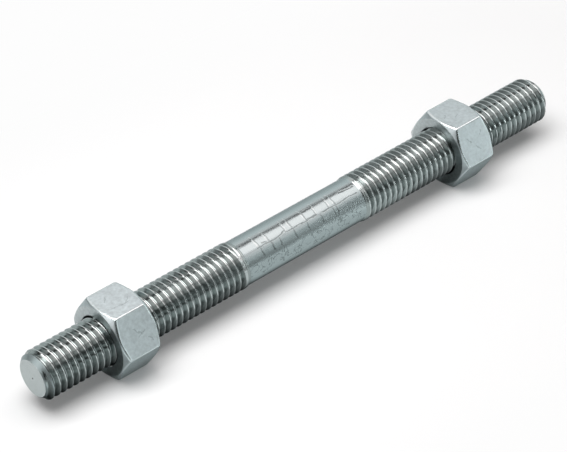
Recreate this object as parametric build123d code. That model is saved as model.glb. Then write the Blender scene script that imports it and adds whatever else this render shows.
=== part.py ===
"""Double-end stud bolt: a round bar threaded at both ends and plain between, with a hexagon nut on each thread."""

import os
from math import radians, sqrt, tan

from build123d import *

# All sizes are in millimetres. The bar lies along X with the middle of its length at the origin, and +Z is up.
# The left end is at -X and the right end at +X. A flat of each nut is underneath, so the assembly lies on its nuts.

# The bar
bar_length = 160.0
thread_diameter = 12.0
thread_pitch = 1.75
left_thread_length = 59.1
right_thread_length = 64.3
shank_diameter = 11.4

# How the thread starts and stops: the tip goes below the thread's root, and the last part turn fades into the shank
tip_below_root = 0.3
tip_chamfer_angle = 45.0
run_out_turns = 0.5
shank_shoulder_radius = 0.6

# The nuts
nut_across_flats = 18.0
nut_height = 10.4
nut_face_diameter = 17.3
nut_chamfer_angle = 30.0
nut_clearance = 0.08
nut_mouth_lip = 0.35
nut_mouth_angle = 45.0

# How far the thread stands out past the outer face of each nut
left_stand_out = 18.55
right_stand_out = 24.0

# The depth of a coarse metric thread, root to crest, is a fixed share of its pitch
thread_depth_per_pitch = 0.6134
thread_depth = thread_depth_per_pitch * thread_pitch

bar_end = bar_length / 2
crest_radius = thread_diameter / 2
shank_radius = shank_diameter / 2
tip_radius = crest_radius - thread_depth - tip_below_root
tip_chamfer_length = (crest_radius - tip_radius) / tan(radians(tip_chamfer_angle))
run_out_length = run_out_turns * thread_pitch
left_thread_stop = -bar_end + left_thread_length
right_thread_stop = bar_end - right_thread_length

nut_corner_radius = nut_across_flats / sqrt(3)
nut_bore_radius = crest_radius + nut_clearance
nut_mouth_radius = nut_bore_radius + nut_mouth_lip
left_nut_middle = -bar_end + left_stand_out + nut_height / 2
right_nut_middle = bar_end - right_stand_out - nut_height / 2


def turned(outline):
    """The solid turned about the X axis from half of its section, given as points of (x, radius)."""
    return revolve(make_face(Polyline(*outline, close=True)), Axis.X)


def bar():
    """The bar: chamfered tips, thread lands at the crest diameter, and run-outs that fall to the plainer shank."""
    section = [
        (-bar_end, 0),
        (-bar_end, tip_radius),
        (-bar_end + tip_chamfer_length, crest_radius),
        (left_thread_stop - run_out_length, crest_radius),
        (left_thread_stop, shank_radius),
        (right_thread_stop, shank_radius),
        (right_thread_stop + run_out_length, crest_radius),
        (bar_end - tip_chamfer_length, crest_radius),
        (bar_end, tip_radius),
        (bar_end, 0),
    ]
    blank = turned(section)
    shoulders = [
        edge
        for edge in blank.edges().filter_by(GeomType.CIRCLE)
        if abs(edge.radius - shank_radius) < 1e-6
    ]
    return fillet(shoulders, shank_shoulder_radius)


def nut_envelope():
    """The turned blank that rounds a nut's corners: a disc with a shallow cone at each face."""
    face_radius = nut_face_diameter / 2
    cone_length = (nut_corner_radius - face_radius) * tan(radians(nut_chamfer_angle))
    half = nut_height / 2
    return turned(
        [
            (-half, 0),
            (-half, face_radius),
            (-half + cone_length, nut_corner_radius),
            (half - cone_length, nut_corner_radius),
            (half, face_radius),
            (half, 0),
        ]
    )


def nut_hole():
    """What is drilled out of a nut: a hole that runs freely over the thread's crests, countersunk at both faces."""
    mouth_length = nut_mouth_lip / tan(radians(nut_mouth_angle))
    half = nut_height / 2
    return turned(
        [
            (-half, 0),
            (-half, nut_mouth_radius),
            (-half + mouth_length, nut_bore_radius),
            (half - mouth_length, nut_bore_radius),
            (half, nut_mouth_radius),
            (half, 0),
        ]
    )


def nut(middle):
    """A hexagon nut centred on the bar at x = middle, with a flat above and below."""
    flats = RegularPolygon(nut_across_flats / 2, 6, major_radius=False)
    prism = extrude(Plane.YZ * flats, nut_height / 2, both=True)
    return Pos(middle, 0, 0) * ((prism & nut_envelope()) - nut_hole())


pieces = {
    "stud_bar": bar(),
    "left_nut": nut(left_nut_middle),
    "right_nut": nut(right_nut_middle),
}

os.makedirs("parts", exist_ok=True)
for name, piece in pieces.items():
    export_step(piece, f"parts/{name}.step")
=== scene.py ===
# %% [markdown]
# # A stud bolt with its two nuts
# A stud bolt is a round steel bar with a thread on each end and a plain shank between them. A hexagon nut
# runs on each thread, and all three pieces are zinc-plated, which gives them their cool grey. The CAD
# model holds the sizes and the motion. This script dresses it: it winds the real threads, softens the
# edges and makes the plating.

import math

import bmesh
import bpy
import numpy as np
from mathutils import Matrix, Vector


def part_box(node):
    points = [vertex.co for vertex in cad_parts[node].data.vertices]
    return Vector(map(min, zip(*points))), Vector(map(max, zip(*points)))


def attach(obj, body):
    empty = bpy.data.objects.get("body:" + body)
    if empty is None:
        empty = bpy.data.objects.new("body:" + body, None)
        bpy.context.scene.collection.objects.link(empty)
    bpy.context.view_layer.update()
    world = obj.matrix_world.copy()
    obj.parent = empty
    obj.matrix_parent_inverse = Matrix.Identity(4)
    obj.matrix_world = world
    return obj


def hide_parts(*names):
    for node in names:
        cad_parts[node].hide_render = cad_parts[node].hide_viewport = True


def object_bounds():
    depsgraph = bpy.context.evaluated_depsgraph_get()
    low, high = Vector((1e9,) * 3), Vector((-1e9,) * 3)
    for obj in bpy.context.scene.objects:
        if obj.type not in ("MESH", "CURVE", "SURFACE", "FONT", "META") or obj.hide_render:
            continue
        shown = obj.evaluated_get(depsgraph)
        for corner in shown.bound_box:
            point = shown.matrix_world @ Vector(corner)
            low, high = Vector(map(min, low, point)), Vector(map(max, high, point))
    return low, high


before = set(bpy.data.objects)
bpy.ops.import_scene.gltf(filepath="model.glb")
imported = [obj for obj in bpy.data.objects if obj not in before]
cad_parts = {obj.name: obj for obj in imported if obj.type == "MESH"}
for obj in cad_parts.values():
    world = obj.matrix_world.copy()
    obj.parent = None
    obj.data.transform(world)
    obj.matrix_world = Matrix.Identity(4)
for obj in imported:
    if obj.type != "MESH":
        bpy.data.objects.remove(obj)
cad_low, cad_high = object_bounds()
print("CAD box in mm:", [round(1000 * v, 2) for v in (*cad_low, *cad_high)])

# %% [markdown]
# ## Sizes
# Blender works in metres, but a fastener is thought of in millimetres, so the lengths here are
# millimetres and MM turns them into metres when a mesh is made. What the CAD model can tell is read from
# it: the bar's length and diameter, and each nut's faces and flats. The rest repeats the values of the
# CAD source.

# %% Sizes read from the model, and the thread's own
MM = 0.001


def box_mm(node):
    """The lowest and highest corner of a CAD node, in millimetres."""
    low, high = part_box(node)
    return Vector(low) / MM, Vector(high) / MM


bar_high = box_mm("stud_bar")[1]
bar_end = bar_high.x
crest_radius = bar_high.z

pitch = 1.75
thread_depth = 0.6134 * pitch
tip_below_root = 0.3
tip_radius = crest_radius - thread_depth - tip_below_root
shank_radius = 5.7
left_thread_stop = -20.9
right_thread_stop = 15.7
print("bar", round(2 * bar_end, 2), "mm long,", round(2 * crest_radius, 2), "mm over the thread")

# %% [markdown]
# ## Camera
# The camera stands where the photographer stood: to the left of the bar, in front of it and above it,
# with a long lens that keeps the two nuts nearly the same size. Its three axes are worked out from the
# two angles, because a camera that is turned by hand is hard to set twice the same.

# %% The camera at the photograph's angle
view_azimuth = math.radians(-42.18)
view_elevation = math.radians(38.05)
view_distance = 554.64
view_shift_right = -4.278
view_shift_up = 0.33
lens_mm = 148.38

back = Vector(
    (
        math.sin(view_azimuth) * math.cos(view_elevation),
        -math.cos(view_azimuth) * math.cos(view_elevation),
        math.sin(view_elevation),
    )
)
right = Vector((math.cos(view_azimuth), math.sin(view_azimuth), 0.0))
up = back.cross(right)

camera_data = bpy.data.cameras.new("camera")
camera_data.lens = lens_mm
camera_data.sensor_width = 36.0
camera_data.clip_start = 0.01
camera_data.clip_end = 50.0
camera = bpy.data.objects.new("camera", camera_data)
bpy.context.collection.objects.link(camera)
camera.location = MM * (view_shift_right * right + view_shift_up * up + view_distance * back)
camera.rotation_mode = "QUATERNION"
camera.rotation_quaternion = Matrix((right, up, back)).transposed().to_quaternion()
bpy.context.scene.camera = camera
print("camera at", [round(v, 3) for v in camera.location])

# %% [markdown]
# ## Node helpers
# A material is a graph of small steps. These helpers place a node, set its inputs and join it to others,
# so that each graph further down reads as a list of steps.

# %% Helpers that place and join nodes


def set_socket(tree, socket, value):
    """Joins a socket to another node's output, or gives it a value of its own."""
    if isinstance(value, bpy.types.NodeSocket):
        tree.links.new(value, socket)
    else:
        socket.default_value = value


def set_inputs(tree, node, **inputs):
    """Sets or joins a node's inputs by name, with _ for a space."""
    for name, value in inputs.items():
        set_socket(tree, node.inputs[name.replace("_", " ")], value)


def add_node(tree, kind, settings=None, **inputs):
    """Places a shader node, sets its own options, and sets or joins its inputs by name."""
    node = tree.nodes.new("ShaderNode" + kind)
    for name, value in (settings or {}).items():
        setattr(node, name, value)
    set_inputs(tree, node, **inputs)
    return node


def placed(tree, group, **inputs):
    """Puts a node group into a tree, sets or joins its inputs, and returns its outputs."""
    return add_node(tree, "Group", {"node_tree": group}, **inputs).outputs


def maths(tree, operation, first, *others, clamp=False):
    """Arithmetic on one value, or on several from left to right. Returns the result."""
    result = first
    for other in others or (0.0,):
        node = add_node(tree, "Math", {"operation": operation, "use_clamp": clamp})
        set_socket(tree, node.inputs[0], result)
        set_socket(tree, node.inputs[1], other)
        result = node.outputs[0]
    return result


def times(tree, *values):
    """The product of two values or more."""
    return maths(tree, "MULTIPLY", *values)


def one_minus(tree, value):
    """What is left of 1."""
    return maths(tree, "SUBTRACT", 1.0, value)


def vector_maths(tree, operation, first, second):
    """One step with vectors. Returns its result."""
    node = add_node(tree, "VectorMath", {"operation": operation})
    set_socket(tree, node.inputs[0], first)
    set_socket(tree, node.inputs["Scale"] if operation == "SCALE" else node.inputs[1], second)
    return node.outputs["Value" if operation in ("DOT_PRODUCT", "DISTANCE") else 0]


def blend_colours(tree, amount, first, second):
    """Mixes two colours by an amount from 0 to 1. Returns the mixture."""
    node = add_node(tree, "Mix", {"data_type": "RGBA"})
    for number, value in ((0, amount), (6, first), (7, second)):
        set_socket(tree, node.inputs[number], value)
    return node.outputs[2]


def remap(tree, value, low, high, to_low=0.0, to_high=1.0):
    """Carries a value from one range to another, smoothly, and holds it at the ends."""
    node = add_node(tree, "MapRange", {"interpolation_type": "SMOOTHSTEP"})
    set_inputs(tree, node, Value=value, From_Min=low, From_Max=high, To_Min=to_low, To_Max=to_high)
    return node.outputs["Result"]


def window(tree, value, low, high, soft):
    """1 between low and high, and 0 outside, with soft edges."""
    risen = remap(tree, value, low - soft, low)
    return times(tree, risen, remap(tree, value, high, high + soft, 1.0, 0.0))


def noise(tree, place, scale, detail, **others):
    """A soft random field that wavers round 0.5."""
    node = add_node(tree, "TexNoise", Vector=place, Scale=scale, Detail=detail, **others)
    return node.outputs["Fac"]


def axes_of(tree, kind="Object"):
    """The X, Y and Z of a spot's place, or of its normal."""
    coordinates = tree.nodes.new("ShaderNodeTexCoord").outputs[kind]
    return add_node(tree, "SeparateXYZ", Vector=coordinates).outputs


socket_kinds = {1: "NodeSocketFloat", 3: "NodeSocketVector", 4: "NodeSocketColor"}


def new_group(name, inputs, outputs):
    """An empty node group. Returns it with its two end nodes.

    Inputs are given with their defaults, and outputs with how many numbers they hold.
    """
    group = bpy.data.node_groups.new(name, "ShaderNodeTree")
    for label, default in inputs.items():
        kind = socket_kinds[np.size(default)]
        group.interface.new_socket(label, in_out="INPUT", socket_type=kind).default_value = default
    for label, numbers in outputs.items():
        group.interface.new_socket(label, in_out="OUTPUT", socket_type=socket_kinds[numbers])
    return group, group.nodes.new("NodeGroupInput"), group.nodes.new("NodeGroupOutput")


def empty_material(name):
    """A material with nothing in its graph. Returns it with its tree."""
    material = bpy.data.materials.new(name)
    material.use_nodes = True
    material.node_tree.nodes.clear()
    return material, material.node_tree


# %% [markdown]
# ## Studio
# Bright metal has hardly a colour of its own: it shows what stands round it. So the studio comes before
# the finish. A pale floor carries the bolt's soft shadow, and two large softboxes overhead and a small
# one on the left give the light. Round the table stand walls, and cards stand or lie near the bolt: light
# ones put light areas into the metal, and black ones put dark lines into it, as a photographer does it.
# Walls and cards are seen only in the metal, so that they can stand where they would block the view or
# the light.

# %% Helpers that build the studio
one_face = [(0, 1, 2, 3)]


def studio_mesh(name, points, faces, material):
    """Puts one of the studio's meshes into the scene. Returns its object."""
    mesh = bpy.data.meshes.new(name)
    mesh.from_pydata(points, [], faces)
    mesh.materials.append(material)
    made = bpy.data.objects.new(name, mesh)
    bpy.context.collection.objects.link(made)
    return made


def level_corners(low_x, high_x, low_y, high_y, z):
    """The corners of a level rectangle."""
    return [(low_x, low_y, z), (high_x, low_y, z), (high_x, high_y, z), (low_x, high_y, z)]


def seen_directly(tree):
    """1 for a ray from the camera, or one that metal or glass sends on, and 0 for light on things."""
    path = tree.nodes.new("ShaderNodeLightPath").outputs
    return maths(tree, "MAXIMUM", path["Is Camera Ray"], path["Is Glossy Ray"], path["Is Transmission Ray"])


# %% The floor, pale to the camera, that keeps the bolt's shadow
# The camera gets a floor of its own grey, which sets how deep the shadow looks. Light and metal get
# another one.
floor_colour = (0.9, 0.9, 0.9, 1.0)
floor_lift = 0.06
floor_colour_seen = (0.755, 0.755, 0.755, 1.0)
floor_lift_seen = 0.095
background_white = 0.983
shadow_reach = 0.045
floor_half = 3.0
floor_z = cad_low.z

floor_material, tree = empty_material("pale_floor")
to_camera = tree.nodes.new("ShaderNodeLightPath").outputs["Is Camera Ray"]
floor_albedo = blend_colours(tree, to_camera, floor_colour, floor_colour_seen)
floor_diffuse = add_node(tree, "BsdfDiffuse", Color=floor_albedo)
lift = remap(tree, to_camera, 0.0, 1.0, floor_lift, floor_lift_seen)
floor_glow = add_node(tree, "Emission", Strength=times(tree, seen_directly(tree), lift))
floor_sum = tree.nodes.new("ShaderNodeAddShader")
tree.links.new(floor_diffuse.outputs[0], floor_sum.inputs[0])
tree.links.new(floor_glow.outputs[0], floor_sum.inputs[1])

# Away from the bolt's shadow the camera sees one even white
place = axes_of(tree)
past_end = maths(tree, "SUBTRACT", maths(tree, "ABSOLUTE", place["X"]), cad_high.x)
past_end = maths(tree, "MAXIMUM", past_end, 0.0)
squares = [times(tree, value, value) for value in (past_end, place["Y"])]
from_bolt = maths(tree, "SQRT", maths(tree, "ADD", *squares))
far_off = times(tree, remap(tree, from_bolt, shadow_reach, 2 * shadow_reach), to_camera)
even_white = add_node(tree, "Emission", Strength=background_white)
floor_mix = add_node(tree, "MixShader", Fac=far_off)
tree.links.new(floor_sum.outputs[0], floor_mix.inputs[1])
tree.links.new(even_white.outputs[0], floor_mix.inputs[2])
add_node(tree, "OutputMaterial", Surface=floor_mix.outputs[0])

floor_corners = level_corners(-floor_half, floor_half, -floor_half, floor_half, floor_z)
floor = studio_mesh("floor", floor_corners, one_face, floor_material)
print("floor at z =", round(floor_z / MM, 3), "mm")

# %% The world: white where it is seen, and a weaker even light on things
ambient_strength = 0.2

world = bpy.data.worlds.new("studio")
bpy.context.scene.world = world
world.use_nodes = True
tree = world.node_tree
tree.nodes.clear()
seen = seen_directly(tree)
strength = add_node(tree, "MapRange", Value=seen, To_Min=ambient_strength, To_Max=1.0)
white = (1.0, 1.0, 1.0, 1.0)
sky = add_node(tree, "Background", Color=white, Strength=strength.outputs["Result"])
add_node(tree, "OutputWorld", Surface=sky.outputs[0])
print("world strength: 1 where seen,", ambient_strength, "as light")

# %% Cards that only metal sees
cool_grey = (0.90, 1.0, 1.005, 1.0)


def glow_evenly(tree, strength):
    """Gives a material the studio's cool glow and nothing else."""
    glow = add_node(tree, "Emission", Color=cool_grey, Strength=strength)
    add_node(tree, "OutputMaterial", Surface=glow.outputs[0])


def glowing(name, strength, foot_height=None, top_height=None):
    """A card's material: one even grey, or a grey that fades to white between the two heights."""
    material, tree = empty_material(name)
    if top_height is not None:
        strength = remap(tree, axes_of(tree)["Z"], foot_height, top_height, strength, 1.0)
    glow_evenly(tree, strength)
    return material


def add_card(name, points, material, faces=one_face):
    """A card that is out of sight and out of the light: only metal shows it."""
    card = studio_mesh(name, points, faces, material)
    for ray in ("camera", "diffuse", "transmission", "volume_scatter", "shadow"):
        setattr(card, "visible_" + ray, False)


# %% The softboxes, each with a dark back
watts_for_white = 4.0
gap_behind = 0.01
softbox_back = glowing("softbox_back", 0.02)


def add_softbox(name, centre, size, whiteness, target, rim=0.0, lip=0.0, colour=(1.0, 1.0, 1.0)):
    """A rectangular lamp turned to its target, in metres, and so many times as bright as white paper.

    A lamp is clear to what lies behind it, so a black back hides the white world. The back stands out past
    the lamp's far side by the rim, and past its near side by the lip.
    """
    data = bpy.data.lights.new(name, "AREA")
    data.shape = "RECTANGLE"
    data.size = size[0]
    data.size_y = size[1]
    data.energy = watts_for_white * whiteness * size[0] * size[1]
    data.color = colour
    lamp = bpy.data.objects.new(name, data)
    bpy.context.collection.objects.link(lamp)
    lamp.location = centre
    toward = (Vector(target) - Vector(centre)).normalized()
    lamp.rotation_mode = "QUATERNION"
    lamp.rotation_quaternion = toward.to_track_quat("-Z", "Y")
    turn = lamp.rotation_quaternion.to_matrix()
    behind = Vector(centre) - gap_behind * toward
    half_x = size[0] / 2
    half_y = size[1] / 2
    corners = level_corners(-half_x, half_x, -half_y - lip, half_y + rim, 0.0)
    add_card(name + "_back", [tuple(behind + turn @ Vector(corner)) for corner in corners], softbox_back)
    print(name, "gives", round(data.energy, 2), "W")


add_softbox(
    "band_softbox",
    (0.32, -0.05, 0.60),
    (0.50, 0.46),
    1.38,
    target=(0.32, -0.05, 0.0),
    rim=0.19,
    lip=0.04,
    colour=(0.97, 0.935, 0.93),
)
add_softbox("key_softbox", (-0.14, 0.03, 0.55), (0.44, 0.45), 4.2, target=(0.0, 0.0, 0.0))
add_softbox("left_strip", (-0.42, 0.12, 0.07), (0.15, 0.14), 2.0, target=(0.0, 0.0, 0.0))

# %% The walls round the table
wall_radius = 0.47
wall_height = 0.36
wall_steps = 36


def add_wall(name, start, stop, height, material):
    """An upright wall on an arc about the bolt, with its foot on the floor. Angles are degrees from +X."""
    points = []
    faces = []
    for step in range(wall_steps + 1):
        angle = math.radians(start + (stop - start) * step / wall_steps)
        across = (wall_radius * math.cos(angle), wall_radius * math.sin(angle))
        points += [(*across, floor_z), (*across, floor_z + height)]
    for step in range(wall_steps):
        low = 2 * step
        faces.append((low, low + 2, low + 3, low + 1))
    add_card(name, points, material, faces)


# Name, first and last angle, glow at the foot, heights where it starts to fade and where it is white
walls = [
    ("far_left_wall", 100, 143, 0.25, 0.10, 0.36),
    ("left_wall", 143, 205, 0.03, 0.10, 0.25),
    ("camera_wall", 205, 262, 0.03, 0.10, 0.36),
    ("near_wall", 262, 288, 1.90, 0.14, 0.36),
    ("front_wall_left", 288, 297, 0.04, 0.20, 0.44),
    ("front_wall", 297, 307, 0.42, 0.07, 0.27),
    ("front_wall_right", 307, 316, 0.06, 0.20, 0.42),
    ("right_wall", 316, 345, 1.80, 0.06, 0.36),
    ("back_wall", -15, 100, 0.72, 0.04, 0.36),
]
for name, start, stop, glow, fade_height, white_height in walls:
    material = glowing(name, glow, fade_height, white_height)
    add_wall(name, start, stop, max(wall_height, white_height), material)
print(len(walls), "walls at", wall_radius, "m from the bolt")

# The camera and whoever holds it are dark, and stand closest in the bevels that face the camera
dark_middle = 0.42 * back + 0.07 * right - 0.03 * up
dark_across = 0.17 * right
dark_upward = 0.15 * up
dark_corners = [
    tuple(dark_middle + x * dark_across + y * dark_upward) for x, y in ((-1, -1), (1, -1), (1, 1), (-1, 1))
]
add_card("dark_camera", dark_corners, softbox_back)

# %% Cards that stand in front of the bolt
front_y = -0.150


def add_upright(name, y, left, right_side, low, high, material, lean=0.0):
    """A card that stands along the bolt, its top moved to the right by the lean."""
    corners = [(left, y, low), (right_side, y, low), (right_side + lean, y, high), (left + lean, y, high)]
    add_card(name, corners, material)


# Black cards for the threads' dark grooves. From the camera, a spot higher up on the bar shows what
# stands further right, so the cards lean to the right.
black_top = 0.150
black_lean = 0.045
black_glow = glowing("black_card", 0.05)
for name, foot_left, foot_right in (("left_black_card", -0.020, 0.036), ("right_black_card", 0.128, 0.212)):
    add_upright(name, front_y, foot_left, foot_right, floor_z, black_top, black_glow, black_lean)

# A small light card before each, for the nuts' front flats, which are light beside the grooves
light_y = front_y + 0.001
light_foot = 0.022
light_top = 0.056
for name, glow, light_left, light_right in (
    ("left_fill_card", 0.9, 0.009, 0.032),
    ("right_fill_card", 6.0, 0.151, 0.172),
):
    add_upright(name, light_y, light_left, light_right, light_foot, light_top, glowing(name, glow))

# %% The grey cards on the table
# They stand for the floor's own shade, which the metal shows darker towards the bolt and beside its nuts
card_z = floor_z + 0.0001
card_reach = 0.46
under_half_length = 0.081
under_front = -0.001
under_back = 0.015
back_front = 0.035
grey_front = 0.74
grey_under = 0.05
grey_shade = 0.08
grey_back = 0.76
grey_left = 0.35
shade_by_threads = 0.6
light_by_threads = -0.35
shade_by_nuts = 0.6
shade_before_nuts = 0.2

table_grey, tree = empty_material("table_grey")
place = axes_of(tree)
across = remap(tree, place["Y"], -0.0085, -0.0015, grey_front, grey_under)
along = remap(tree, place["X"], -0.130, -0.095, grey_left, 1.0)
by_shank = window(tree, place["X"], -0.013, 0.024, 0.008)
shade = remap(tree, place["Y"], -0.021, -0.013, light_by_threads, shade_by_threads)
shade = times(tree, shade, remap(tree, by_shank, 0.0, 1.0, 1.0, 0.0))
for nut_low, nut_high in (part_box("left_nut"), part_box("right_nut")):
    beside = window(tree, place["X"], nut_low[0] - 0.001, nut_high[0] + 0.001, 0.006)
    by_nut = remap(tree, place["Y"], -0.0120, -0.0055, shade_before_nuts, shade_by_nuts)
    shade = maths(tree, "ADD", times(tree, shade, one_minus(tree, beside)), times(tree, by_nut, beside))
glow_evenly(tree, times(tree, across, along, one_minus(tree, shade)))

front_corners = level_corners(-card_reach, card_reach, -card_reach, under_front, card_z)
under_corners = level_corners(-under_half_length, under_half_length, under_front, under_back, card_z)
back_corners = level_corners(-card_reach, card_reach, back_front, card_reach, card_z)
add_card("front_card", front_corners, table_grey)
add_card("under_card", under_corners, glowing("table_shade", grey_shade))
add_card("back_card", back_corners, glowing("table_back", grey_back))
print("table cards reach", card_reach, "m")

# %% [markdown]
# ## The skin of a turned and threaded piece
# Every surface here goes round the bar's axis, so each piece is one grid: columns are angles round the
# axis, and rows run along it. A plain stretch needs only rings. A thread needs rows that climb like the
# thread does, or its crest comes out as steps. So its rows climb one pitch in a turn, and where the last
# column meets the first, each row joins the row one pitch further on. At the two ends of the thread the
# rows are cut off square.

# %% A grid round the X axis


def weigh_normals(mesh):
    """Smooth shading in which each face counts by its area, so flats stay flat beside narrow bevels."""
    areas = np.empty(len(mesh.polygons))
    normals = np.empty(3 * len(mesh.polygons))
    corner_counts = np.empty(len(mesh.polygons), dtype=int)
    corner_points = np.empty(len(mesh.loops), dtype=int)
    mesh.polygons.foreach_get("area", areas)
    mesh.polygons.foreach_get("normal", normals)
    mesh.polygons.foreach_get("loop_total", corner_counts)
    mesh.loops.foreach_get("vertex_index", corner_points)
    weighed = normals.reshape(-1, 3) * areas[:, None] / MM**2
    sums = np.zeros((len(mesh.vertices), 3))
    np.add.at(sums, corner_points, np.repeat(weighed, corner_counts, axis=0))
    sums /= np.maximum(np.linalg.norm(sums, axis=1, keepdims=True), 1e-9)
    mesh.normals_split_custom_set_from_vertices(sums)


class Skin:
    """Collects the points and faces of one piece. An angle is counted from -Y towards +Z."""

    def __init__(self, angles):
        self.angles = list(angles)
        self.points = []
        self.faces = []
        self.wear_and_highlight = []

    def point(self, x, radius, angle, wear_and_highlight=0.0):
        self.points.append((x * MM, -radius * math.cos(angle) * MM, radius * math.sin(angle) * MM))
        self.wear_and_highlight.append(wear_and_highlight)
        return len(self.points) - 1

    def face(self, *corners):
        kept = [c for i, c in enumerate(corners) if c != corners[i - 1]]
        if len(kept) > 2:
            self.faces.append(kept)

    def ring(self, x, radius, wear_and_highlight=0.0):
        """A ring of points."""
        return [self.point(x, radius, angle, wear_and_highlight) for angle in self.angles]

    def join(self, first, second):
        """Faces between two rings."""
        count = len(self.angles)
        for j in range(count):
            k = (j + 1) % count
            self.face(first[j], second[j], second[k], first[k])

    def join_all(self, rings):
        """Faces from each ring to the next."""
        for before, after in zip(rings, rings[1:]):
            self.join(before, after)

    def cap(self, centre_x, ring):
        """Closes a ring with a fan of triangles."""
        centre = self.point(centre_x, 0.0, 0.0)
        for j in range(len(ring)):
            self.face(centre, ring[j], ring[(j + 1) % len(ring)])

    def thread(self, first, last, start, stop, crest_x, shares, surface):
        """Rows that climb with a right-hand thread, from the ring at x = start to the ring at x = stop.

        crest_x is the place of a crest at angle 0, and shares are the rows' places within one pitch.
        surface gives the radius for a place along the bar and an angle.
        """
        rows_a_turn = len(shares)
        first_turn = math.floor((start - crest_x) / pitch) - 1
        last_turn = math.ceil((stop - crest_x) / pitch) + 1
        turns = range(first_turn, last_turn + 1)
        heights = [crest_x + pitch * (turn + share) for turn in turns for share in shares]
        sliver = 0.02
        columns = []
        for j, angle in enumerate(self.angles):
            column = []
            for height in heights:
                x = height - pitch * angle / (2 * math.pi)
                if x < start + sliver:
                    column.append(first[j])
                elif x > stop - sliver:
                    column.append(last[j])
                else:
                    column.append(self.point(x, surface(x, angle), angle))
            columns.append(column)
        closing = [first[0]] * rows_a_turn + columns[0][:-rows_a_turn]
        for column, beside in zip(columns, columns[1:] + [closing]):
            for i in range(len(heights) - 1):
                self.face(column[i], column[i + 1], beside[i + 1], beside[i])

    def piece(self, name):
        """The finished object, smooth, its points holding rubbing and painted highlight for its material.
        """
        mesh = bpy.data.meshes.new(name)
        mesh.from_pydata(self.points, [], self.faces)
        mesh.attributes.new("wear_and_highlight", "FLOAT", "POINT").data.foreach_set("value", self.wear_and_highlight)
        tidy = bmesh.new()
        tidy.from_mesh(mesh)
        bmesh.ops.recalc_face_normals(tidy, faces=tidy.faces)
        tidy.to_mesh(mesh)
        tidy.free()
        mesh.shade_smooth()
        weigh_normals(mesh)
        made = bpy.data.objects.new(name, mesh)
        bpy.context.collection.objects.link(made)
        triangles = sum(len(face) - 2 for face in self.faces)
        print(name, "has", len(self.points), "points and", triangles, "triangles")
        return made


def rounded(path, radii, steps):
    """A path of (x, y) points, its inner corners rounded, each by its own radius, in so many steps."""
    made = [path[0]]
    for before, corner, after, radius in zip(path, path[1:], path[2:], radii):
        corner = np.array(corner)
        inward = np.array(before) - corner
        outward = np.array(after) - corner
        inward /= np.linalg.norm(inward)
        outward /= np.linalg.norm(outward)
        half = math.acos(float(np.clip(inward @ outward, -1, 1))) / 2
        middle = inward + outward
        centre = corner + middle / np.linalg.norm(middle) * radius / math.sin(half)
        first = corner + inward * radius / math.tan(half) - centre
        last = corner + outward * radius / math.tan(half) - centre
        turn = math.pi - 2 * half
        for step in range(steps + 1):
            share = step / steps
            spoke = math.sin((1 - share) * turn) * first + math.sin(share * turn) * last
            made.append(tuple(centre + spoke / math.sin(turn)))
    made.append(path[-1])
    return made


# %% [markdown]
# ## The thread's profile
# A metric thread is a row of sixty-degree ridges. A rolled and plated one has a narrow crest with soft
# corners and a round root. Half a ridge is drawn as a path from the middle of the crest to the middle of
# the root. The rows of the grid then lie exactly on its points, so a thread of 12 rows a turn already has
# its narrow crest and its round root.

# %% Half a ridge, and the rows that follow it
crest_half = pitch / 16
flank_slope = math.tan(math.radians(30))
flank_run = thread_depth * flank_slope
root_half = pitch / 2 - crest_half - flank_run
crest_corner = 0.05
root_fullness = 0.985
root_corner = root_fullness * root_half / flank_slope

half_ridge = rounded(
    [(0, 0), (crest_half, 0), (crest_half + flank_run, thread_depth), (pitch / 2, thread_depth)],
    [crest_corner, root_corner],
    2,
)
half_ridge.pop(-2)
ridge_x = [p[0] for p in half_ridge]
ridge_drop = [p[1] for p in half_ridge]
row_shares = [x / pitch for x in ridge_x] + [1 - x / pitch for x in ridge_x[-2:0:-1]]
print("rows in a turn:", len(row_shares), "depth:", round(thread_depth, 3), "mm")


def drop_at(x, angle, crest_x):
    """How far the thread's surface lies under its crests, at a place on the bar and an angle round it."""
    along = (x - crest_x + pitch * angle / (2 * math.pi)) % pitch
    return float(np.interp(min(along, pitch - along), ridge_x, ridge_drop))


def smooth_step(value):
    """0 below 0, 1 above 1, and a soft S between them."""
    value = min(max(value, 0.0), 1.0)
    return value * value * (3 - 2 * value)


# %% [markdown]
# ## The bar
# The bar is one skin from end to end: an end face with the lathe's centre mark, a thread, the plain
# shank, the other thread and the other end face. Each tip has a chamfer that cuts the ridges away, so
# that a nut can start. Beside the shank the groove gets shallow over its last turn and runs out into a
# low double ring, where the bar steps down to the shank, which is a little thinner. Where the crests come
# is taken from the photograph.

# %% The surface of a threaded stretch
left_crest_x = -75.12
right_crest_x = 22.36
tip_edge = 0.05
shoulder_length = 1.1
fade_length = 1.0


def bar_surface(end_x, stop_x, crest_x):
    """The thread between a tip at end_x and the shank at stop_x, as a function of place and angle."""

    def surface(x, angle):
        from_tip = abs(x - end_x)
        from_shoulder = abs(x - stop_x) - shoulder_length
        radius = crest_radius - drop_at(x, angle, crest_x) * smooth_step(from_shoulder / fade_length)
        return min(radius, tip_radius + from_tip)

    return surface


# %% Build the bar
columns = 96
centre_mark_radius = 0.22
centre_mark_depth = 0.25
shank_ring_count = 30
bar_skin = Skin([2 * math.pi * j / columns for j in range(columns)])


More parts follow.
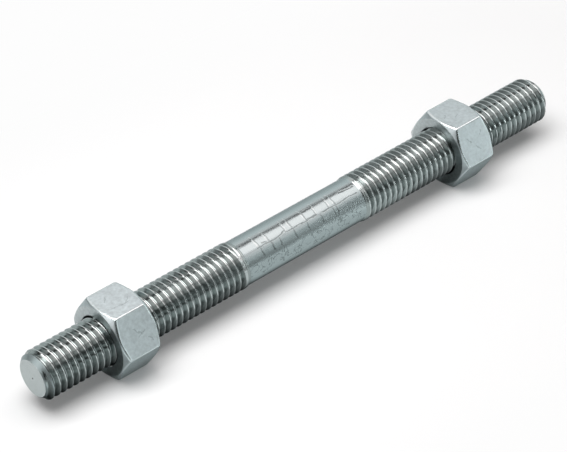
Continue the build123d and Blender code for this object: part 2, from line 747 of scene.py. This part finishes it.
def end_face(skin, end_x, inward):
    """The turned end: a centre mark, the face and its soft edge. Returns the last ring, on the chamfer."""
    profile = [
        (centre_mark_depth, 0.05),
        (0.5 * centre_mark_depth, 0.7 * centre_mark_radius),
        (0.0, centre_mark_radius),
        (0.0, 1.2),
        (0.0, 2.6),
        (0.0, 4.0),
        (0.0, tip_radius - tip_edge),
        (0.4 * tip_edge, tip_radius - 0.1 * tip_edge),
        (tip_edge, tip_radius + tip_edge),
    ]
    rings = [skin.ring(end_x + inward * depth, radius) for depth, radius in profile]
    skin.cap(end_x + inward * centre_mark_depth, rings[0])
    skin.join_all(rings)
    return rings[-1]


left_tip = end_face(bar_skin, -bar_end, 1)
right_tip = end_face(bar_skin, bar_end, -1)

# Where a thread stops, the bar rises to a low double ring: (distance from the stop, radius)
shoulder = [(0.0, 5.70), (0.08, 5.69), (0.16, 5.70), (0.24, 5.76), (0.32, 5.83), (0.42, 5.87)]
shoulder += [(0.55, 5.875), (0.68, 5.875), (0.76, 5.90), (0.84, 5.95), (0.94, 5.975)]
shoulder += [(shoulder_length, 5.98)]
shank_profile = [(left_thread_stop - x, radius) for x, radius in shoulder[::-1]]
shank_places = np.linspace(left_thread_stop, right_thread_stop, shank_ring_count)
shank_profile += [(x, shank_radius) for x in shank_places[1:-1]]
shank_profile += [(right_thread_stop + x, radius) for x, radius in shoulder]
shank_rings = [bar_skin.ring(x, radius) for x, radius in shank_profile]
bar_skin.join_all(shank_rings)

bar_skin.thread(
    left_tip,
    shank_rings[0],
    -bar_end + tip_edge,
    left_thread_stop - shoulder_length,
    left_crest_x,
    row_shares,
    bar_surface(-bar_end, left_thread_stop, left_crest_x),
)
bar_skin.thread(
    shank_rings[-1],
    right_tip,
    right_thread_stop + shoulder_length,
    bar_end - tip_edge,
    right_crest_x,
    row_shares,
    bar_surface(bar_end, right_thread_stop, right_crest_x),
)
bar = bar_skin.piece("threaded_bar")
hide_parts("stud_bar")
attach(bar, "bar")

# %% [markdown]
# ## The nuts
# A nut is cut from hexagon bar, and its corners are turned off by a shallow cone at each face. That is
# what draws the curved ends of the six flats. Seen along one angle round the axis, its outline is a face,
# a cone and a flat, and only the place of the flat changes with the angle. So each column of the grid
# takes that outline for its own angle, with the corners rounded as plating and handling leave them. The
# hole carries the bar's own thread with a little room, so the ridges mesh, and each nut still meshes
# wherever it is moved by whole turns.

# %% The nut's outline
nut_face_radius = 8.65
nut_cone = math.tan(math.radians(30))
nut_corner_soft = 0.55
face_edge_soft = 0.3
nut_edge_soft = 0.95
edge_share_of_cone = 1.55
mouth_radius = 6.43
mouth_edge = 0.04
mouth_wear = 0.6
thread_room = 0.08
minor_radius = 5.06


def hexagon_radius(angle, half_flats):
    """The distance from the axis to a hexagon with a flat above and below, its corners softly rounded."""
    sixth = math.radians(60)
    beside = abs((angle - math.radians(90) + sixth / 2) % sixth - sixth / 2)
    inner = half_flats - nut_corner_soft
    centre = np.array((inner, inner * math.tan(sixth / 2)))
    if half_flats * math.tan(beside) <= centre[1]:
        return half_flats / math.cos(beside)
    ray = np.array((math.cos(beside), math.sin(beside)))
    along = float(centre @ ray)
    off = float(centre @ centre) - along * along
    return along + math.sqrt(nut_corner_soft**2 - off)


def nut_outline(radius, half_height):
    """One angle's outline as (x from the middle, radius), from one face's mouth to the other's."""
    cone_length = (radius - nut_face_radius) * nut_cone
    edge_soft = min(nut_edge_soft, edge_share_of_cone * (radius - nut_face_radius))
    corners = [
        (-half_height, mouth_radius + mouth_edge),
        (-half_height, nut_face_radius),
        (-half_height + cone_length, radius),
        (half_height - cone_length, radius),
        (half_height, nut_face_radius),
        (half_height, mouth_radius + mouth_edge),
    ]
    return rounded(corners, [face_edge_soft, edge_soft, edge_soft, face_edge_soft], 4)


# %% Build a nut


def nut_angles():
    """Angles round the axis: close together at the six corners, and even along the flats."""
    from_corner = [0.0, 0.4, 0.8, 1.2, 1.6, 3.0, 6.0, 9.5, 13.0, 16.5, 20.0, 23.5, 27.0]
    one_corner = [-a for a in from_corner[:0:-1]] + from_corner + [30.0]
    return [math.radians(60 * corner + a) for corner in range(6) for a in one_corner]


def build_nut(name, node, crest_x):
    """A nut in the place of its CAD node, threaded to match the crest at crest_x."""
    low, high = box_mm(node)
    middle = (low.x + high.x) / 2
    half_height = (high.x - low.x) / 2
    half_flats = (high.z - low.z) / 2
    skin = Skin(sorted(a % (2 * math.pi) for a in nut_angles()))
    outlines = [nut_outline(hexagon_radius(a, half_flats), half_height) for a in skin.angles]
    rows = len(outlines[0])
    # Rubbing and painted highlight, from the mouth over the face's edge to the flat's edge and back again
    row_wear_and_highlight = [0, 0, 0.2, 0.3, 0.3, 0.3, 0.4, 0.8, 0.8, 0.7, 0.2]
    row_wear_and_highlight += row_wear_and_highlight[::-1]
    rings = []
    for row in range(rows):
        ring = []
        for angle, outline in zip(skin.angles, outlines):
            x, radius = outline[row]
            from_corner = abs((math.degrees(angle) + 30) % 60 - 30)
            # The six corners of the flats are painted bright too: rubbing and painted highlight
            corner_wear_and_highlight = float(np.interp(from_corner, (0.8, 1.6), (1.0, 0.0)))
            on_flat = 6 < row < rows - 7
            wear_and_highlight = max(row_wear_and_highlight[row], corner_wear_and_highlight) if on_flat else row_wear_and_highlight[row]
            ring.append(skin.point(middle + x, radius, angle, wear_and_highlight))
        rings.append(ring)
    skin.join_all(rings)

    start = middle - half_height
    stop = middle + half_height
    mouths = [skin.ring(x, mouth_radius, mouth_wear) for x in (start + mouth_edge, stop - mouth_edge)]
    skin.join(rings[0], mouths[0])
    skin.join(rings[-1], mouths[1])

    def hole(x, angle):
        drop = drop_at(x, angle, crest_x)
        threaded = max(crest_radius - drop + 2 * thread_room, minor_radius)
        threaded = min(threaded, crest_radius + thread_room)
        mouth = mouth_radius - min(x - start, stop - x)
        return max(threaded, mouth)

    skin.thread(mouths[0], mouths[1], start + mouth_edge, stop - mouth_edge, crest_x, row_shares, hole)
    return skin.piece(name)


left_nut = build_nut("left_hexagon_nut", "left_nut", left_crest_x)
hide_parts("left_nut")
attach(left_nut, "left_nut")

right_nut = build_nut("right_hexagon_nut", "right_nut", right_crest_x)
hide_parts("right_nut")
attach(right_nut, "right_nut")

# %% [markdown]
# ## Plating
# Zinc plating is a cool grey metal with a fine grain. Close to, it is a little cloudy, with hairline
# scratches from handling. Its edges and crests are painted bright: partly from rubbing, and partly as a
# painted highlight. Bar and nuts share that, so it is one node group, and each material gives it its
# own sizes and strengths.

# %% The node group for zinc plating
plating, plating_in, plating_out = new_group(
    "zinc_plating",
    {
        "Colour": (0.5, 0.5, 0.5, 1.0),
        "Worn Colour": (0.8, 0.8, 0.8, 1.0),
        "Cloud Size": 500.0,
        "Cloud Strength": 0.12,
        "Roughness": 0.3,
        "Mottle": 0.6,
        "Scratches": 0.3,
        "Wear": 0.0,
    },
    {"Colour": 4, "Roughness": 1, "Height": 1},
)
grain_scale = 5200.0
grain_height = 0.25
patch_scale = 90.0
hairline_width = 0.012
hairline_brightness = 0.5
cloud_roughness = 0.4
roughness_kept_by_wear = 0.4

# How the noise of each set of hairlines is turned and stretched
hairline_sets = [((0.3, 0.2, 0.5), (120.0, 2600.0, 2600.0)), ((1.1, 0.7, -0.4), (2600.0, 150.0, 2600.0))]

tree = plating
given = plating_in.outputs
place = tree.nodes.new("ShaderNodeTexCoord").outputs["Object"]
cloud = maths(tree, "SUBTRACT", noise(tree, place, given["Cloud Size"], 4.0, Roughness=0.6), 0.5)
grain = noise(tree, place, grain_scale, 3.0)

# Hairlines: a stretched noise, kept only where it crosses its middle value, and only in patches
hairlines = []
for turn, stretch in hairline_sets:
    stretched = add_node(tree, "Mapping", Vector=place, Rotation=turn, Scale=stretch).outputs[0]
    off_middle = maths(tree, "ABSOLUTE", maths(tree, "SUBTRACT", noise(tree, stretched, 1.0, 1.0), 0.5))
    hairlines.append(remap(tree, off_middle, 0.0, hairline_width, 1.0, 0.0))
patches = remap(tree, noise(tree, place, patch_scale, 2.0), 0.5, 0.62)
scratch = times(tree, maths(tree, "MAXIMUM", *hairlines), patches, given["Scratches"])

clouded = maths(tree, "ADD", times(tree, cloud, given["Cloud Strength"]), 1.0)
tinted = vector_maths(tree, "SCALE", given["Colour"], clouded)
# The bright colour on edges and crests: partly from rubbing, partly a painted highlight
rubbed_and_highlit = times(tree, given["Wear"], remap(tree, grain, 0.30, 0.55, 0.8, 1.0))
worn_and_highlit = blend_colours(tree, rubbed_and_highlit, tinted, given["Worn Colour"])
scratched = blend_colours(tree, times(tree, scratch, hairline_brightness), worn_and_highlit, given["Worn Colour"])

mottle = times(tree, given["Mottle"], remap(tree, given["Wear"], 0.0, 0.5, 1.0, 0.15))
uneven = times(tree, cloud, mottle)
rough = maths(tree, "ADD", given["Roughness"], times(tree, uneven, cloud_roughness))
kept = remap(tree, rubbed_and_highlit, 0.0, 1.0, 1.0, roughness_kept_by_wear)
rough = maths(tree, "MULTIPLY", rough, kept, clamp=True)
height = maths(tree, "ADD", uneven, times(tree, grain, grain_height))
height = maths(tree, "SUBTRACT", height, scratch)
set_inputs(tree, plating_out, Colour=scratched, Roughness=rough, Height=height)

# %% A metal shader on top of the plating
fine_bump = 0.00004
fine_bump_strength = 0.3


def metal_material(name, **plating_values):
    """A plated metal. Returns the material, its tree, the plating group's node and the metal shader."""
    material = bpy.data.materials.new(name)
    material.use_nodes = True
    tree = material.node_tree
    shader = tree.nodes["Principled BSDF"]
    finish = add_node(tree, "Group", {"node_tree": plating}, **plating_values)
    set_inputs(tree, shader, Metallic=1.0, Specular_Tint=(0.6, 0.62, 0.62, 1.0))
    set_inputs(tree, shader, Base_Color=finish.outputs["Colour"], Roughness=finish.outputs["Roughness"])
    return material, tree, finish, shader


# %% [markdown]
# ## Where a spot is on a turned piece
# The colour of a thread follows its depth: crests are painted bright, partly from rubbing by nuts and
# hands and partly as a painted highlight, and the flanks and root are painted darker, partly as oil and
# partly as painted shade in the groove. Values stored at the points of a mesh would blur that over a
# whole flank. The distance from the axis tells the same for every spot, sharply, so a group works it
# out, in millimetres, with the place along the axis and the angle round it. A second group draws the
# fine rings that a lathe's tool leaves on a face.

# %% The node groups for the place on a turned piece and for a lathe's rings
turned_place, _, turned_out = new_group("turned_place", {}, {"Radius": 1, "Along": 1, "Angle": 1})
tree = turned_place
axes = axes_of(tree)
squares = [times(tree, axes[name], axes[name]) for name in ("Y", "Z")]
radius = times(tree, maths(tree, "SQRT", maths(tree, "ADD", *squares)), 1 / MM)
along = times(tree, axes["X"], 1 / MM)
angle = maths(tree, "ARCTAN2", axes["Z"], times(tree, axes["Y"], -1.0))
angle = times(tree, angle, 180 / math.pi)
set_inputs(tree, turned_out, Radius=radius, Along=along, Angle=angle)

lathe_rings, rings_in, rings_out = new_group("lathe_rings", {"Radius": 0.0, "Feed": 0.25}, {"Height": 1})
tree = lathe_rings
given = rings_in.outputs
turns = maths(tree, "DIVIDE", given["Radius"], given["Feed"])
line = add_node(tree, "TexNoise", {"noise_dimensions": "1D"}, W=turns, Scale=1.0, Detail=3.0)
set_inputs(tree, rings_out, Height=line.outputs["Fac"])

# %% [markdown]
# ## Marks
# A piece that has been rolled, tipped into a bin and handled carries rings, scratches and scuffs. Each is
# a short line on the surface rolled flat: the place along the axis one way, and the way round the other,
# both in millimetres. A group measures how far a spot is from such a line. A little noise bends the spot
# first, so that no mark comes out ruled.

# %% The node groups for a spot on the surface rolled flat and for one mark
wobble_scale = 0.9
rolled_flat, rolled_in, rolled_out = new_group("rolled_flat", {"Radius": 5.7, "Wobble": 0.5}, {"Spot": 3})
tree = rolled_flat
given = rolled_in.outputs
here = placed(tree, turned_place)
round_it = times(tree, here["Angle"], given["Radius"], math.pi / 180)
flat_spot = add_node(tree, "CombineXYZ", X=here["Along"], Y=round_it).outputs[0]
waver = add_node(tree, "TexNoise", Vector=flat_spot, Scale=wobble_scale, Detail=2.0)
bend = vector_maths(tree, "SUBTRACT", waver.outputs["Color"], (0.5, 0.5, 0.5))
bend = vector_maths(tree, "SCALE", bend, given["Wobble"])
bend = vector_maths(tree, "MULTIPLY", bend, (1.0, 1.0, 0.0))
set_inputs(tree, rolled_out, Spot=vector_maths(tree, "ADD", flat_spot, bend))

mark, mark_in, mark_out = new_group(
    "mark",
    {"Spot": (0.0, 0.0, 0.0), "Start": (0.0, 0.0, 0.0), "End": (1.0, 0.0, 0.0), "Width": 0.2},
    {"Mask": 1},
)
tree = mark
given = mark_in.outputs
span = vector_maths(tree, "SUBTRACT", given["End"], given["Start"])
offset = vector_maths(tree, "SUBTRACT", given["Spot"], given["Start"])
travelled = vector_maths(tree, "DOT_PRODUCT", offset, span)
share = maths(tree, "DIVIDE", travelled, vector_maths(tree, "DOT_PRODUCT", span, span), clamp=True)
away = vector_maths(tree, "DISTANCE", offset, vector_maths(tree, "SCALE", span, share))
set_inputs(tree, mark_out, Mask=remap(tree, away, 0.0, given["Width"], 1.0, 0.0))


def marks_at(tree, radius, wobble, marks):
    """Places marks on a surface of this radius and returns their mask.

    Each is (x, angle, x, angle, width), from its one end to its other, in millimetres and degrees.
    """
    spot = placed(tree, rolled_flat, Radius=radius, Wobble=wobble)["Spot"]
    degree = radius * math.pi / 180
    mask = 0.0
    for x, angle, end_x, end_angle, width in marks:
        start = (x, angle * degree, 0.0)
        end = (end_x, end_angle * degree, 0.0)
        one_mark = placed(tree, mark, Spot=spot, Start=start, End=end, Width=width)["Mask"]
        mask = maths(tree, "MAXIMUM", mask, one_mark)
    return mask


# %% [markdown]
# ## The nuts' finish
# The six flats are satin and a little mottled, as zinc is on a cold-formed nut. The two faces were
# turned, so they are smoother, with fine rings. The bevels between them are painted as bright lines,
# partly from rubbing and partly as a painted highlight. The hole is painted dark, as painted shade. A
# face is told from a flat by its normal, and the hole by its distance from the axis.

# %% The nuts' material
nut_material, tree, finish, shader = metal_material(
    "plated_nut",
    Worn_Colour=(0.70, 0.735, 0.74, 1.0),
    Cloud_Size=1250.0,
    Cloud_Strength=0.9,
    Scratches=0.6,
)
flat_colour = (0.508, 0.543, 0.558, 1.0)
face_colour = (0.42, 0.465, 0.47, 1.0)
# Painted shade: the nut's hole and the bar's centre mark are painted nearly black
hollow_shade_colour = (0.015, 0.017, 0.017, 1.0)
scratch_colour = (0.22, 0.25, 0.26, 1.0)
scratch_strength = 0.8
flat_roughness = 0.44
face_roughness = 0.36
flat_mottle = 1.1
face_mottle = 0.15
face_feed = 0.16
scratched_radius = 9.0
scratch_wobble = 1.2

# The left nut's scratches come first, then the right nut's
flat_scratches = [
    (-59.8, 80, -54.0, 76, 0.16),
    (-55.2, 76, -53.4, 84, 0.14),
    (-58.4, 96, -57.4, 104, 0.16),
    (-57.2, 38, -55.4, 26, 0.20),
    (-56.4, 24, -54.4, 30, 0.16),
    (-54.2, 18, -53.2, 12, 0.18),
    (47.6, 88, 48.6, 96, 0.16),
    (50.2, 80, 51.4, 84, 0.14),
    (48.6, 40, 49.4, 32, 0.18),
    (50.6, 24, 51.8, 16, 0.20),
    (52.6, 38, 53.6, 44, 0.14),
]

spot = placed(tree, turned_place)
face = remap(tree, maths(tree, "ABSOLUTE", axes_of(tree, "Normal")["X"]), 0.90, 0.98)
# The hole gets painted shade, dark from just inside the mouth
in_shaded_hole = remap(tree, spot["Radius"], mouth_radius - 0.07, mouth_radius + 0.01, 1.0, 0.0)
scratched_flat = marks_at(tree, scratched_radius, scratch_wobble, flat_scratches)
colour = blend_colours(tree, face, flat_colour, face_colour)
colour = blend_colours(tree, times(tree, scratched_flat, scratch_strength), colour, scratch_colour)
colour = blend_colours(tree, in_shaded_hole, colour, hollow_shade_colour)
# Rubbing and painted highlight stored at the points: bright bevels, corners and mouths
wear_and_highlight = add_node(tree, "Attribute", {"attribute_name": "wear_and_highlight"}).outputs["Fac"]
rough = remap(tree, face, 0.0, 1.0, flat_roughness, face_roughness)
mottle = remap(tree, face, 0.0, 1.0, flat_mottle, face_mottle)
set_inputs(tree, finish, Colour=colour, Roughness=rough, Mottle=mottle, Wear=wear_and_highlight)

rings = placed(tree, lathe_rings, Radius=spot["Radius"], Feed=face_feed)
relief = maths(tree, "ADD", finish.outputs["Height"], times(tree, rings["Height"], face))
relief = maths(tree, "SUBTRACT", relief, scratched_flat)
bump = add_node(tree, "Bump", Height=relief, Strength=fine_bump_strength, Distance=fine_bump)
set_inputs(tree, shader, Normal=bump.outputs["Normal"])
for nut in (left_nut, right_nut):
    nut.data.materials.append(nut_material)
print("nuts:", len(flat_scratches), "scratches")

# %% [markdown]
# ## The bar's finish
# One material covers the bar, and what differs is told by place. The flanks are glossy and painted
# darker, partly as oil and partly as painted shade in the groove, darkest at the root. The crests are
# bare and painted bright, partly from rubbing and partly as a painted highlight. The shank is plated and
# plain, and the end faces turned. Bar stock that has been rolled and handled is never quite clean, so the
# shank also gets faint rings and small scuffs, with no lettering.

# %% The bar's material: its colours and marks
bar_material, tree, finish, shader = metal_material(
    "plated_bar",
    Worn_Colour=(0.605, 0.615, 0.612, 1.0),
    Cloud_Size=420.0,
    Cloud_Strength=0.10,
    Scratches=0.5,
)
shank_colour = (0.445, 0.487, 0.492, 1.0)
scuff_colour = (0.20, 0.222, 0.22, 1.0)
# Flanks and root are painted darker than the shank: partly oil, partly painted shade in the groove
flank_oil_and_shade_colour = (0.398, 0.424, 0.418, 1.0)
root_oil_and_shade_colour = (0.315, 0.338, 0.333, 1.0)
end_colour = (0.45, 0.49, 0.49, 1.0)
end_line_colour = (0.37, 0.41, 0.41, 1.0)
shank_roughness = 0.23
flank_roughness = 0.14
tip_roughness = 0.33
shank_mottle = 0.4
flank_mottle = 0.1
end_feed = 0.2
end_ring_height = 2.0
wear_and_highlight_radii = (5.82, 5.93)
groove_shade_radii = (5.0, 5.5)
bend_of_lines = 0.6
bend_of_dents = 0.7
mark_strength = 0.8
ring_wear = 0.8

# How far the shank's marks and waves stand up or lie deep, in millimetres
wave_height = 0.03
ring_height = 0.03
line_depth = 0.02
scuff_depth = 0.02

# Rings left by rolling on the upper side, and dark lines beside and below them: (place, half width)
roll_rings = [(-16.6, 0.2), (-13.5, 0.2), (-7.6, 0.2), (-6.2, 0.22)]
roll_rings += [(-1.7, 0.2), (2.1, 0.22), (6.3, 0.2), (7.5, 0.2)]
ring_sides = [(-16.2, 0.2), (-13.1, 0.2), (-8.0, 0.2), (-5.8, 0.2)]
ring_sides += [(-1.3, 0.25), (1.7, 0.2), (5.9, 0.2), (7.9, 0.2)]
roll_lines = [(-16.1, 0.25), (-12.8, 0.3), (-10.4, 0.2), (-5.8, 0.3)]
roll_lines += [(-1.6, 0.2), (2.8, 0.3), (6.7, 0.3), (7.8, 0.3)]
dents = [
    (-17.0, 54, -10.8, 54, 0.22),
    (-7.4, 54, 1.8, 55, 0.22),
    (3.6, 54, 14.8, 55, 0.22),
    (-10.8, 54, -8.2, 60, 0.28),
    (-15.2, 61, -14.0, 57, 0.30),
    (-1.4, 57, 1.7, 56, 0.25),
    (-1.2, 80, 1.4, 79, 0.35),
    (10.8, 77, 15.0, 74, 0.35),
]


def lines_across(tree, x, angle, lines, low_angle, high_angle, soft):
    """Lines across the bar, each as (place, half width), between two angles. Returns their mask."""
    length = right_thread_stop - left_thread_stop
    ramp = add_node(tree, "ValToRGB")
    share = maths(tree, "DIVIDE", maths(tree, "SUBTRACT", x, left_thread_stop), length)
    set_inputs(tree, ramp, Fac=share)
    stops = ramp.color_ramp.elements
    stops[1].color = (0.0, 0.0, 0.0, 1.0)
    for place, half_width in lines:
        for stop, level in ((place - half_width, 0.0), (place, 1.0), (place + half_width, 0.0)):
            stops.new((stop - left_thread_stop) / length).color = (level, level, level, 1.0)
    return times(tree, ramp.outputs["Color"], window(tree, angle, low_angle, high_angle, soft))


# %% The bar's material: which part a spot belongs to
spot = placed(tree, turned_place)
from_middle = maths(tree, "ABSOLUTE", spot["Along"])
left_thread = remap(tree, spot["Along"], left_thread_stop - 0.3, left_thread_stop - 0.1, 1.0, 0.0)
right_thread = remap(tree, spot["Along"], right_thread_stop + 0.1, right_thread_stop + 0.3)
threaded = maths(tree, "ADD", left_thread, right_thread)
plain_part = one_minus(tree, threaded)

# The double rings beside the shank are no crests, so they get no crest brightening
left_end = left_thread_stop - shoulder_length
right_end = right_thread_stop + shoulder_length
between = remap(tree, spot["Along"], left_end - 0.2, left_end)
between = times(tree, between, remap(tree, spot["Along"], right_end, right_end + 0.2, 1.0, 0.0))
# Crests are painted bright: partly from rubbing by nuts and hands, partly a painted highlight
crest = times(tree, remap(tree, spot["Radius"], *wear_and_highlight_radii), threaded, one_minus(tree, between))

# The tip's chamfer is where the radius and the distance from the middle add up to the same
from_chamfer = maths(tree, "ADD", spot["Radius"], from_middle, -bar_end - tip_radius)
chamfer = remap(tree, maths(tree, "ABSOLUTE", from_chamfer), 0.03, 0.09, 1.0, 0.0)
bare = times(tree, threaded, one_minus(tree, chamfer))
at_tip = times(tree, chamfer, threaded)
at_end = remap(tree, from_middle, bar_end - 0.06, bar_end - 0.03)
# The centre mark is a hollow and gets painted shade: it is painted nearly black
in_shaded_centre_mark = remap(tree, spot["Radius"], centre_mark_radius - 0.06, centre_mark_radius + 0.02, 1.0, 0.0)

# %% The bar's material: masks of the marks
bent = placed(tree, rolled_flat, Radius=shank_radius, Wobble=bend_of_lines)["Spot"]
bent_axes = add_node(tree, "SeparateXYZ", Vector=bent).outputs
bent_x = bent_axes["X"]
bent_angle = times(tree, bent_axes["Y"], 180 / math.pi / shank_radius)
ring_marks = lines_across(tree, bent_x, bent_angle, roll_rings, 59, 90, 5)
line_marks = lines_across(tree, bent_x, bent_angle, roll_lines, 33, 50, 5)
side_marks = lines_across(tree, bent_x, bent_angle, ring_sides, 57, 80, 4)
dent_marks = marks_at(tree, shank_radius, bend_of_dents, dents)
line_marks = maths(tree, "MAXIMUM", line_marks, side_marks, dent_marks)

# Scuffs: the lines where a noise crosses its middle value, kept here and there on the near side
curl = maths(tree, "SUBTRACT", noise(tree, bent, 0.55, 2.0, Distortion=0.8), 0.5)
curl = remap(tree, maths(tree, "ABSOLUTE", curl), 0.0, 0.04, 1.0, 0.0)
some = remap(tree, noise(tree, bent, 0.42, 1.0), 0.42, 0.50)
scuff_marks = times(tree, curl, some, window(tree, bent_angle, -8, 22, 8), plain_part)

# %% The bar's material: colour, wear and relief
# Painted shade in the groove: the colour darkens from the flank down to the root
above_root = remap(tree, spot["Radius"], *groove_shade_radii)
thread_oil_and_shade_colour = blend_colours(tree, above_root, root_oil_and_shade_colour, flank_oil_and_shade_colour)
rings = placed(tree, lathe_rings, Radius=spot["Radius"], Feed=end_feed)
turned_grey = blend_colours(tree, remap(tree, rings["Height"], 0.35, 0.65), end_colour, end_line_colour)
dark_marks = times(tree, maths(tree, "MAXIMUM", line_marks, scuff_marks), mark_strength)
colour = blend_colours(tree, bare, shank_colour, thread_oil_and_shade_colour)
colour = blend_colours(tree, at_end, colour, turned_grey)
colour = blend_colours(tree, in_shaded_centre_mark, colour, hollow_shade_colour)
colour = blend_colours(tree, dark_marks, colour, scuff_colour)

# Crests and rolled rings take the bright colour; on the crests it is partly a painted highlight
wear_and_highlight = maths(tree, "MAXIMUM", times(tree, crest, bare), times(tree, ring_marks, ring_wear))
rough = remap(tree, bare, 0.0, 1.0, shank_roughness, flank_roughness)
rough = maths(tree, "ADD", rough, times(tree, at_tip, tip_roughness - shank_roughness))
mottle = remap(tree, bare, 0.0, 1.0, shank_mottle, flank_mottle)
set_inputs(tree, finish, Colour=colour, Roughness=rough, Mottle=mottle, Wear=wear_and_highlight)

relief = times(tree, rings["Height"], at_end, end_ring_height)
relief = maths(tree, "ADD", finish.outputs["Height"], relief)
bump = add_node(tree, "Bump", Height=relief, Strength=fine_bump_strength, Distance=fine_bump)

# The drawn bar is never quite round, so it carries long shallow waves below its marks
unbent = placed(tree, rolled_flat, Radius=shank_radius, Wobble=0.0)["Spot"]
drawn = add_node(tree, "Mapping", Vector=unbent, Scale=(0.22, 0.9, 1.0)).outputs[0]
forms = times(tree, noise(tree, drawn, 1.0, 2.0), wave_height, plain_part)
forms = maths(tree, "ADD", forms, times(tree, ring_marks, ring_height))
forms = maths(tree, "SUBTRACT", forms, times(tree, line_marks, line_depth))
forms = maths(tree, "SUBTRACT", forms, times(tree, scuff_marks, scuff_depth))
marked = add_node(tree, "Bump", Height=forms, Strength=1.0, Distance=MM)
set_inputs(tree, marked, Normal=bump.outputs["Normal"])
set_inputs(tree, shader, Normal=marked.outputs["Normal"])
bar.data.materials.append(bar_material)
print("bar:", len(roll_rings), "rings,", len(roll_lines), "lines and", len(dents), "dents")

# %% Colours as they are written, with no film curve
bpy.context.scene.view_settings.view_transform = "Standard"
